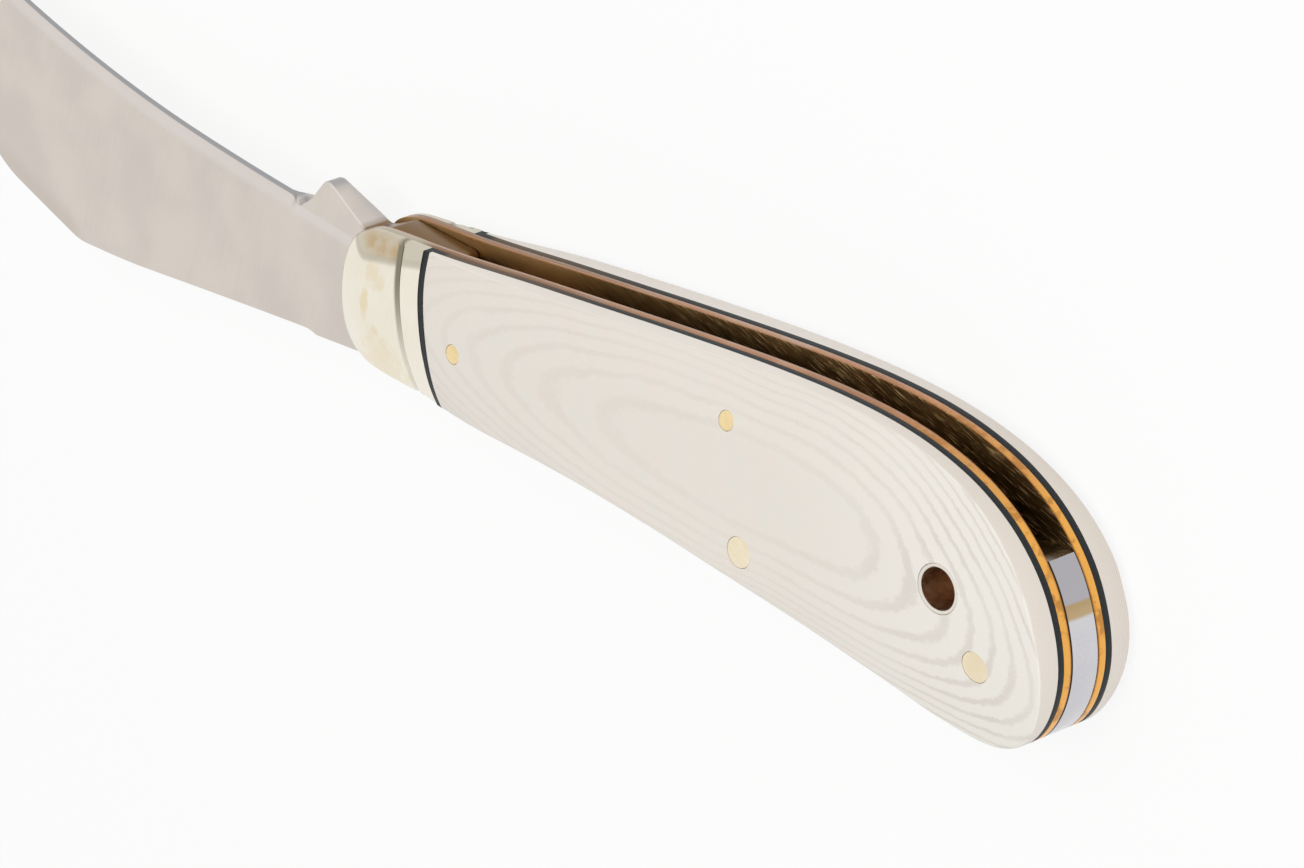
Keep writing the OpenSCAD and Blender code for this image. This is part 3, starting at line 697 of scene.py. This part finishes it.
# A pin between two heights. Ends that meet a face follow it, with a slightly domed edge.
def pinShape(bm, at, radius, lowAt, highAt):
    grown = bmesh.ops.create_cone(bm, cap_ends=True, segments=roundSides, radius1=radius, radius2=radius,
                                  depth=2, matrix=Matrix.Translation((at[0], at[1], 0)))["verts"]
    caps = [f for f in dict.fromkeys(f for v in grown for f in v.link_faces) if len(f.verts) == roundSides]
    for cap in caps:
        for step in pins["rings"]:
            bmesh.ops.inset_region(bm, faces=[cap], thickness=step, use_even_offset=True, use_boundary=True)
    centre = Vector((at[0], at[1]))
    rim = pins["rings"][0]
    for v in bm.verts:
        reach = (v.co.to_2d() - centre).length
        if abs(v.co.z) > 0.5 and reach < radius + 0.01 and not v.tag:
            v.tag = True
            edge = max(0, reach - radius + rim) / rim * pins["dome"]
            v.co.z = (highAt(v.co.x, v.co.y) - edge) if v.co.z > 0 else (lowAt(v.co.x, v.co.y) + edge)


def pinPiece(name, places, radius, lowAt, highAt, nodes, material):
    bm = bmesh.new()
    for at in places:
        pinShape(bm, at, radius, lowAt, highAt)
    return makePiece(name, bm, nodes, [material])


def flipped(heightAt):
    return lambda x, y: -heightAt(x, y)


def insideLiner(x, y):
    return layers["slot"] + 0.02


for place, name, node in zip(pins["through"], ("springPin", "endPin"), ("spring_pin", "end_pin")):
    pinPiece(name, [place], pins["throughRadius"], flipped(scaleHeight), scaleHeight,
             [node], pinMetal)
pinPiece("scalePinsNear", pins["short"], pins["shortRadius"], insideLiner, scaleHeight,
         ["scale_pins_near"], pinBrass)
pinPiece("scalePinsFar", pins["short"], pins["shortRadius"], flipped(scaleHeight), flipped(insideLiner),
         ["scale_pins_far"], pinBrass)


def makeTube():
    bm = bmesh.new()
    bore, outer, rim, high = (tube[word] for word in ("bore", "outer", "rim", "high"))
    profile = [(bore, high - rim), (bore + rim, high), (outer - rim, high), (outer, high - rim)]
    profile += [(r, -z) for r, z in reversed(profile)]
    verts = [bm.verts.new((tube["at"][0] + r, tube["at"][1], z)) for r, z in profile]
    edges = [bm.edges.new((a, b)) for a, b in zip(verts, verts[1:] + verts[:1])]
    bmesh.ops.spin(bm, geom=verts + edges, cent=(*tube["at"], 0), axis=(0, 0, 1), angle=2 * math.pi,
                   steps=72, use_merge=True)
    for v in bm.verts:
        lift = scaleHeight(v.co.x, v.co.y) - high
        v.co.z += lift if v.co.z > 0 else -lift
    for face in bm.faces:
        middle = face.calc_center_median().to_2d() - Vector(tube["at"])
        face.material_index = 1 if middle.length < bore + rim / 4 else 0
    return makePiece("lanyardTube", bm, ["lanyard_tube"], [tubeMetal, tubeBore])


makeTube()
print("pins and tube made")

# Liners, spacers and backspring

plates = {"piece": 0.45, "linerBevel": 0.06, "spacerBevel": 0.03, "springBevel": 0.12}
bothSides = (("Near", "_near", 1), ("Far", "_far", -1))


def holesAt(places, radius, gap=pins["plateGap"]):
    return [(at, radius + gap) for at in places]


plateHoles = holesAt(pins["through"], pins["throughRadius"]) + holesAt([tube["at"]], tube["outer"])
spacerHoles = plateHoles + holesAt(pins["short"], pins["shortRadius"])
linerHoles = (spacerHoles + holesAt(rivets["places"], rivets["radius"])
              + holesAt([(0, 0)], pins["pivotRadius"]))


def platePiece(name, node, low, high, bevel, holes, materials, side):
    loop = smoothed(sectionLoops(node, side * (low + high) / 2)[0], plates["piece"])
    bm, floor, roof = prism(loop, low, high)
    floor.material_index = 1
    bevelRims(bm, [floor, roof], bevel)
    bm = withHoles(bm, holes)
    if len(materials) > 1:
        for face in bm.faces:
            inner = face.calc_center_median().z < low + bevel and abs(face.normal.z) > 0.9
            face.material_index = 1 if inner else 0
    if side < 0:
        bm = mirrored(bm)
    return makePiece(name, bm, [node], materials)


for word, ending, side in bothSides:
    platePiece("liner" + word, "liner" + ending, layers["slot"], layers["liner"], plates["linerBevel"],
               linerHoles, [linerBrass, slotPatina], side)
    platePiece("spacer" + word, "spacer" + ending, layers["liner"], layers["spacer"], plates["spacerBevel"],
               spacerHoles, [blackFibre], side)


def makeSpring():
    loop = smoothed(sectionLoops("backspring", 0)[0], plates["piece"])
    bm, floor, roof = prism(loop, -layers["slot"], layers["slot"])
    bevelRims(bm, [floor, roof], plates["springBevel"], 3)
    bm = withHoles(bm, plateHoles)
    return makePiece("backspringBar", bm, ["backspring"], [springSteel])


makeSpring()
print("liners, spacers and backspring made")

# Scales, end spacers and bolsters

scaleHoles = (holesAt(pins["through"], pins["throughRadius"], pins["gap"])
              + holesAt(pins["short"], pins["shortRadius"], pins["gap"])
              + holesAt([tube["at"]], tube["outer"], tube["gap"]))
scaleShape = {"rings": (0.04, 0.06, 0.08, 0.1), "edge": (0.28, 0.2), "spacing": 0.9, "sectionAt": 0.3,
              "frontWall": 3.95, "wallBlend": 0.1}
endSpacerShape = {"rings": (0.05, 0.06, 0.08), "edge": (0.19, 0.15), "spacing": 0.3, "sectionAt": 0.4,
                  "sunk": 0.015}
bolsterShape = {"rings": (0.05, 0.08, 0.1, 0.12, 0.15), "edge": (0.5, 0.4), "spacing": 0.4, "sectionAt": 0.4,
                "blend": 0.2}
groove = {"ahead": 3.85, "width": 0.85, "spread": 0.2, "depth": 0.4, "spacing": 0.07,
          "toneStep": (0.04, 0.5), "toneRise": (-7.5, 3), "leastTone": 0.25}
grooveReach = groove["width"] / 2 + groove["spread"]
grooveMiddle = groove["width"] / 2 - groove["ahead"]


def grooveShare(x, y):
    off = (behindJoint(x, y) - grooveMiddle) / grooveReach
    return (1 - off * off) ** 2 if abs(off) < 1 else 0


def bolsterHeight(x, y):
    height = smoothMin(crownHeight(x, y), rollHeight(x, y, roll["bolsterRise"]), bolsterShape["blend"])
    past = roll["jointX"] - x - roll["frontRun"]
    if past > 0:
        height -= roll["frontRadius"] - math.sqrt(roll["frontRadius"] ** 2 - past ** 2)
    return height - groove["depth"] * grooveShare(x, y)


# The scale keeps a thin wall over its spacer where the roll meets the slot.
def scaleTop(x, y):
    return smoothMax(scaleHeight(x, y), scaleShape["frontWall"], scaleShape["wallBlend"])


def endSpacerHeight(x, y):
    return scaleHeight(x, y) - endSpacerShape["sunk"]


# The rounding of a rim, which fades out at the joint, where scale, spacer and bolster are ground flush
def fadingEdge(shape):
    width, drop = shape["edge"]
    least, fade = relief["flushDrop"], relief["fade"]
    return lambda x, y: (width, max(least, drop * smoothStep(abs(behindJoint(x, y)), *fade)))


def squareCuts(loop, spacing, lean=0):
    return [(degrees, evenPlaces(loop, degrees, spacing)) for degrees in (lean, lean + 90)]


# The bolsters' cuts run parallel to the joint, close together at the groove, and across it.
def bolsterCuts():
    loop = sectionLoops("bolster_near", layers["liner"] + bolsterShape["sectionAt"])[0]
    lean = roll["jointLean"]
    middle = roll["jointX"] * math.cos(math.radians(lean)) + grooveMiddle
    steps = round(2 * grooveReach / groove["spacing"])
    fine = [middle - grooveReach + 2 * grooveReach * k / steps for k in range(steps + 1)]
    along, across = squareCuts(loop, bolsterShape["spacing"], lean)
    wide = [at for at in along[1] if abs(at - middle) > grooveReach + 0.1]
    return [(lean, fine + wide), across]


def reliefPiece(name, node, low, heightAt, shape, holes, material, side, tones=None):
    loop = smoothed(sectionLoops(node, side * (low + shape["sectionAt"]))[0], relief["piece"])
    cuts = bolsterCuts() if shape is bolsterShape else squareCuts(loop, shape["spacing"])
    bm, floor = reliefSolid(loop, low, heightAt, fadingEdge(shape), shape["rings"], cuts)
    if holes:
        bm = withHoles(bm, holes)
    if side < 0:
        bm = mirrored(bm)
    return makePiece(name, bm, [node], [material], heightAt=heightAt, side=side, tones=tones)


# Painted shade in the groove, darkest towards the slot
def grooveShade(place):
    wide = smoothStep(grooveShare(place.x, place.y), *groove["toneStep"])
    least = groove["leastTone"]
    return wide * (least + (1 - least) * smoothStep(place.y, *groove["toneRise"]))


for word, ending, side in bothSides:
    reliefPiece("scale" + word, "scale" + ending, layers["spacer"], scaleTop, scaleShape, scaleHoles,
                ivoryLaminate, side)
    reliefPiece("endSpacer" + word, "end_spacer" + ending, layers["liner"], endSpacerHeight, endSpacerShape,
                [], blackFibre, side)
    reliefPiece("bolster" + word, "bolster" + ending, layers["liner"], bolsterHeight, bolsterShape, [],
                nickelSilver, side, {"grooveShade": grooveShade})
print("scales and bolsters made")


def belowBolster(x, y):
    return bolsterHeight(x, y) - rivets["sunk"]


pinPiece("pivotPin", [(0, 0)], pins["pivotRadius"], flipped(belowBolster), belowBolster,
         ["pivot_pin"], nickelSilver)
pinPiece("bolsterRivetsNear", rivets["places"], rivets["radius"], insideLiner, belowBolster,
         ["bolster_rivets_near"], nickelSilver)
pinPiece("bolsterRivetsFar", rivets["places"], rivets["radius"], flipped(belowBolster), flipped(insideLiner),
         ["bolster_rivets_far"], nickelSilver)

# Blade

bladeShape = {
    "half": 1.72, "heel": (-19.6, 3.3), "tip": (-78.0048, 15.95), "heading": 5, "heelRadius": 400,
    "heelLength": 16.5, "corner": (-55.4, -13.2071), "nose": (-69.5048, -8.13), "backThickness": 3.2,
    "grindTilt": 2.57, "taper": 0.385, "runoutX": -9.2, "runoutSlope": 7.2, "edgeAngle": 28,
    "edgeWidth": 0.4, "bandAngle": 23, "noseSlope": 19.8, "swedgeThickness": 1.6, "swedgeTilt": 12,
    "heelRun": 2.2, "heelPlunge": 0.6, "soft": 0.3, "softRunout": 0.12, "softBand": 0.4, "softEdge": 0.03,
    "rings": (0.05, 0.06, 0.07, 0.08), "spineEdge": (0.25, 0.15), "kickEdge": (0.25, 0.22),
    "cuttingEdge": (0.05, 0.0), "cuttingReach": 0.7, "kickAhead": 1.2, "spacing": 0.45, "pivotHole": 1.64}
heelX = bladeShape["heel"][0]


def bladeArcs():
    heel, tip = Vector(bladeShape["heel"]), Vector(bladeShape["tip"])
    heading = math.radians(180 - bladeShape["heading"])
    sweep = bladeShape["heelLength"] / bladeShape["heelRadius"]
    centre = heel + bladeShape["heelRadius"] * Vector((math.sin(heading), -math.cos(heading)))
    turn = Matrix.Rotation(-sweep, 2)
    start = centre + turn @ (heel - centre)
    normal = Vector((math.sin(heading - sweep), -math.cos(heading - sweep)))
    chord = tip - start
    radius = chord.dot(chord) / (2 * chord.dot(normal))
    return centre, start, start + radius * normal, radius


heelCentre, bellyStart, bellyCentre, bellyRadius = bladeArcs()


# Distance from the cutting edge
def fromEdge(x, y):
    place = Vector((x, y))
    if x > bellyStart.x:
        return (place - heelCentre).length - bladeShape["heelRadius"]
    return (place - bellyCentre).length - bellyRadius


# Distance from the line of the nose
def fromNose(x, y):
    slope = math.radians(bladeShape["noseSlope"])
    return (Vector((x, y)) - Vector(bladeShape["nose"])).dot(Vector((math.sin(slope), math.cos(slope))))


def slopeOf(degrees):
    return math.tan(math.radians(degrees))


def bladeHeight(x, y):
    s = bladeShape
    grind = (s["backThickness"] / 2 + slopeOf(s["taper"]) * (x - s["corner"][0])
             - slopeOf(s["grindTilt"]) * (y - s["corner"][1]))
    runout = s["half"] + slopeOf(s["runoutSlope"]) * (x - s["runoutX"])
    height = smoothMin(s["half"], smoothMax(grind, runout, s["soft"]), s["softRunout"])
    swedge = s["swedgeThickness"] / 2 + slopeOf(s["swedgeTilt"]) * fromNose(x, y)
    height = smoothMin(height, swedge, s["soft"])
    off = max(fromEdge(x, y), 0) + s["heelPlunge"] * max(0, x - heelX + s["heelRun"]) ** 2
    edge = off * slopeOf(s["edgeAngle"])
    band = s["edgeWidth"] * slopeOf(s["edgeAngle"]) + (off - s["edgeWidth"]) * slopeOf(s["bandAngle"])
    height = smoothMin(height, band, s["softBand"])
    return smoothMin(height, edge, s["softEdge"]) if off < 1 else height


def bladeEdge(x, y):
    if x > heelX + bladeShape["kickAhead"] and y > -2:
        return bladeShape["kickEdge"]
    return bladeShape["cuttingEdge" if fromEdge(x, y) < bladeShape["cuttingReach"] else "spineEdge"]


# The same as fromEdge, in nodes
def edgeDistance(tree, at):
    distances = []
    for centre, radius in ((heelCentre, bladeShape["heelRadius"]), (bellyCentre, bellyRadius)):
        squares = [square(tree, subtract(tree, at[word], middle)) for word, middle in zip("xy", centre)]
        distances.append(subtract(tree, mathNode(tree, "SQRT", add(tree, *squares)), radius))
    heel, belly = distances
    atHeel = isAbove(tree, at["x"], bellyStart.x)
    return add(tree, belly, multiply(tree, subtract(tree, heel, belly), atHeel))


measures["edge"] = edgeDistance
bladeFinish = {
    "colour": (0.67, 0.605, 0.55), "darkColour": (0.61, 0.555, 0.51), "roughness": 0.32, "roughSpread": 0.03,
    "turn": 14, "along": 4.0, "across": 0.2, "lineShare": 0.25, "bump": 0.04, "slotMetal": 0.85, "stains": [
        # painted shade on the swedge
        {"colour": (0.54, 0.485, 0.43), "share": 0.7, "tone": "swedgeShade"},
        # painted highlight on the band beside the edge; painted dark reflection on the edge line and its
        # hook into the choil
        {"colour": (0.715, 0.66, 0.635), "share": 0.6, "limits": [("edge", 0.36, 0.6), ("edge", 2.1, 1.2)]},
        {"colour": (0.30, 0.31, 0.33), "share": 0.85,
         "limits": [("edge", 0.46, 0.36), ("x", heelX - 0.1, heelX - 0.9)]},
        {"colour": (0.30, 0.31, 0.33), "share": 0.85, "tone": "edgeHookReflection"},
        {"colour": (0.37, 0.365, 0.375), "share": 0.85, "tone": "kickTone"},
        # painted highlight along the kick's rim
        {"colour": (0.80, 0.74, 0.69), "share": 0.8, "tone": "kickRimHighlight"},
        # painted shade and brass reflection on the tang inside the slot
        {"colour": (0.20, 0.112, 0.042), "tone": "slotShade"}]}
bladePaintedLight = {
    "hookFront": (1.0, 0.5), "hookBack": (-0.9, -0.1), "hookWall": (0.02, 0.08), "kickFront": (1.2, 1.7),
    "kickBottom": 3, "kickTop": (-13.2, -14.4), "kickSlope": (0.6, -1.2), "slopeShare": 0.5,
    "kickWall": (0.05, 0.18), "rimOuter": (0.005, 0.03), "rimInner": (0.09, 0.2), "rimBack": (-15.5, -14.0),
    "slotFront": (-8.9, -8.3), "slotSide": (-3, 0), "swedgeBack": (-53, -57), "swedgeRise": (3.6, 1.0)}


def makeBladeSteel():
    material = grainedMetal("bladeSatin", bladeFinish)
    tree = material.node_tree
    tree.links.new(rangeOf(tree, toneOf(tree, "slotShade"), 0.0, 1.0, 1.0, bladeFinish["slotMetal"]),
                   tree.nodes["Principled BSDF"].inputs["Metallic"])
    return material


# How far a place lies down from the blade's face, on the wall round its outline
def onWall(place, low, high):
    return smoothStep(bladeHeight(place.x, place.y) - abs(place.z), low, high)


# The painted dark reflection of the edge line hooks down into the choil
def edgeHookReflection(place):
    ahead = place.x - heelX
    hook = smoothStep(ahead, *bladePaintedLight["hookFront"]) * smoothStep(ahead, *bladePaintedLight["hookBack"])
    return hook * onWall(place, *bladePaintedLight["hookWall"]) * (place.y > 0)


def onKick(place):
    return smoothStep(place.x - heelX, *bladePaintedLight["kickFront"]) * (place.y > bladePaintedLight["kickBottom"])


# The top of the kick shines darker, and so does the far half of its slope
def kickTone(place):
    tip = smoothStep(place.x, *bladePaintedLight["kickTop"])
    slope = bladePaintedLight["slopeShare"] * smoothStep(place.z, *bladePaintedLight["kickSlope"])
    return onKick(place) * onWall(place, *bladePaintedLight["kickWall"]) * max(tip, slope)


# A painted highlight along the rounded rim of the kick's slope
def kickRimHighlight(place):
    rim = onWall(place, *bladePaintedLight["rimOuter"]) * (1 - onWall(place, *bladePaintedLight["rimInner"]))
    return onKick(place) * rim * smoothStep(place.x, *bladePaintedLight["rimBack"])


# The tang inside the slot is painted dark brown and less metallic: painted shade and reflection of the brass
# liners
def slotShade(place):
    return smoothStep(place.x, *bladePaintedLight["slotFront"]) * smoothStep(place.y, *bladePaintedLight["slotSide"])


# Painted shade on the swedge along the nose
def swedgeShade(place):
    return (smoothStep(place.x, *bladePaintedLight["swedgeBack"])
            * smoothStep(fromNose(place.x, place.y), *bladePaintedLight["swedgeRise"]))


def makeBlade():
    loop = smoothed(sectionLoops("blade", 0)[0], relief["piece"])
    cuts = squareCuts(loop, bladeShape["spacing"])
    bm, floor = reliefSolid(loop, 0, bladeHeight, bladeEdge, bladeShape["rings"], cuts)
    bmesh.ops.delete(bm, geom=[floor], context="FACES_ONLY")
    other = mirrored(bm)
    spare = bpy.data.meshes.new("otherSide")
    other.to_mesh(spare)
    other.free()
    bm.from_mesh(spare)
    bpy.data.meshes.remove(spare)
    bmesh.ops.remove_doubles(bm, verts=[v for v in bm.verts if abs(v.co.z) < 0.001], dist=0.0005)
    bm = withHoles(bm, [((0, 0), bladeShape["pivotHole"])])
    tones = {"edgeHookReflection": edgeHookReflection, "slotShade": slotShade, "swedgeShade": swedgeShade, "kickTone": kickTone,
             "kickRimHighlight": kickRimHighlight}
    return makePiece("bladeForged", bm, ["blade"], [makeBladeSteel()], heightAt=bladeHeight,
                     side=0, tones=tones)


makeBlade()
print("blade made")

# Floor, light and camera

studio = {"floorSize": 3.0, "floorColour": (0.9, 0.9, 0.9), "worldForLight": 0.5, "background": 1.0,
          "floorGlow": 0.86}


def whiteForCamera(tree):
    path = addNode(tree, "ShaderNodeLightPath")
    rays = ("Is Camera Ray", "Is Glossy Ray", "Is Transmission Ray")
    return larger(tree, *(path.outputs[ray] for ray in rays))


def makeStudio():
    bm = bmesh.new()
    bmesh.ops.create_grid(bm, x_segments=2, y_segments=2, size=studio["floorSize"] / 2)
    mesh = bpy.data.meshes.new("floor")
    bm.to_mesh(mesh)
    bm.free()
    floor = bpy.data.objects.new("floor", mesh)
    bpy.context.scene.collection.objects.link(floor)
    floor.location.z = -0.0001
    material, shader = newMaterial("floorPaper", studio["floorColour"], 0.9)
    tree = material.node_tree
    glow = addNode(tree, "ShaderNodeEmission", {"Color": (1, 1, 1, 1), "Strength": 1.0})
    share = multiply(tree, whiteForCamera(tree), studio["floorGlow"])
    mix = addNode(tree, "ShaderNodeMixShader", {0: share, 1: shader.outputs[0], 2: glow.outputs[0]})
    tree.links.new(mix.outputs[0], tree.nodes["Material Output"].inputs[0])
    mesh.materials.append(material)

    world = bpy.data.worlds.new("studio")
    bpy.context.scene.world = world
    world.use_nodes = True
    tree = world.node_tree
    light = tree.nodes["Background"]
    light.inputs[0].default_value = (1, 1, 1, 1)
    light.inputs[1].default_value = studio["worldForLight"]
    seen = addNode(tree, "ShaderNodeBackground", {0: (1, 1, 1, 1), 1: studio["background"]})
    share = whiteForCamera(tree)
    mix = addNode(tree, "ShaderNodeMixShader", {0: share, 1: light.outputs[0], 2: seen.outputs[0]})
    tree.links.new(mix.outputs[0], tree.nodes["World Output"].inputs[0])


lamps = [
    {"name": "keyBox", "place": (0.2, 0.4, 0.85), "size": 0.7, "power": 4.6, "colour": (1.0, 0.985, 0.96)},
    {"name": "fillBox", "place": (0.8, -0.3, 0.35), "size": 0.6, "power": 1.6, "colour": (0.97, 0.985, 1.0)},
]


def makeLamps():
    for values in lamps:
        light = bpy.data.lights.new(values["name"], "AREA")
        light.shape, light.size = "SQUARE", values["size"]
        light.energy, light.color = values["power"], values["colour"]
        lamp = bpy.data.objects.new(values["name"], light)
        lamp.location = values["place"]
        lamp.visible_glossy = False
        lamp.rotation_euler = (-Vector(values["place"])).to_track_quat("-Z", "Y").to_euler()
        bpy.context.scene.collection.objects.link(lamp)


view = {"place": (0.544973, 0.324026, 0.498992), "turn": (-23.09456, 47.19129, 2.10471), "lens": 220.859}


def makeCamera():
    camera = bpy.data.cameras.new("camera")
    camera.lens, camera.sensor_width = view["lens"], 36
    camera.clip_start, camera.clip_end = 0.05, 20
    holder = bpy.data.objects.new("camera", camera)
    holder.location = view["place"]
    holder.rotation_euler = Euler([math.radians(a) for a in view["turn"]], "XYZ")
    bpy.context.scene.collection.objects.link(holder)
    bpy.context.scene.camera = holder


makeStudio()
makeLamps()
makeCamera()
bpy.context.scene.view_settings.view_transform = "Standard"
print("studio made")
